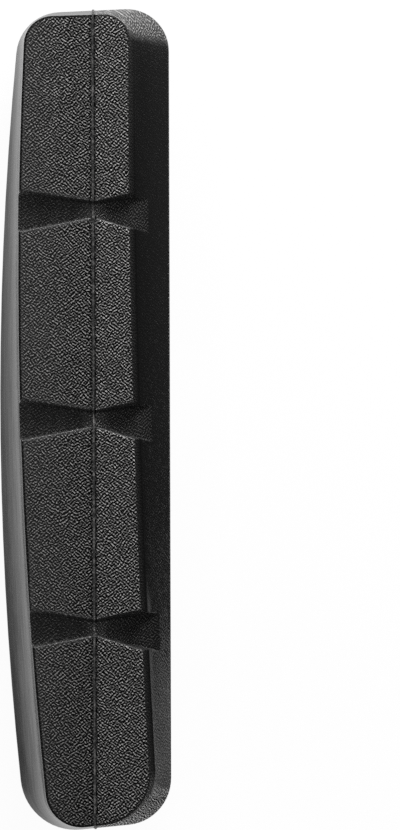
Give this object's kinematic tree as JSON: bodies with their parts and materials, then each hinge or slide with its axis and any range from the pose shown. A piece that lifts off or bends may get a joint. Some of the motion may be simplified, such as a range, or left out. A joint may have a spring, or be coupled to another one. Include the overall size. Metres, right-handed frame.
{
  "type": "bicycle rim brake pad",
  "caption": "Curved rubber friction insert for a rim brake shoe, with a grained braking face, bow-tie cross grooves, flared walls and a slide-in rail on its back.",
  "frame": {"origin": "middle of the rail's flat foot, on the mould's parting plane", "axes": "+X across the pad towards the hub, +Y along the rim, +Z out of the friction face"},
  "size_m": [0.0145, 0.0701, 0.012],
  "materials": {
    "black_rubber": "moulded black brake rubber, matte leather grain on the face and hub side, smooth satin on the tyre side"
  },
  "bodies": {
    "root": {"pad_insert": "black_rubber"}
  },
  "joints": []
}
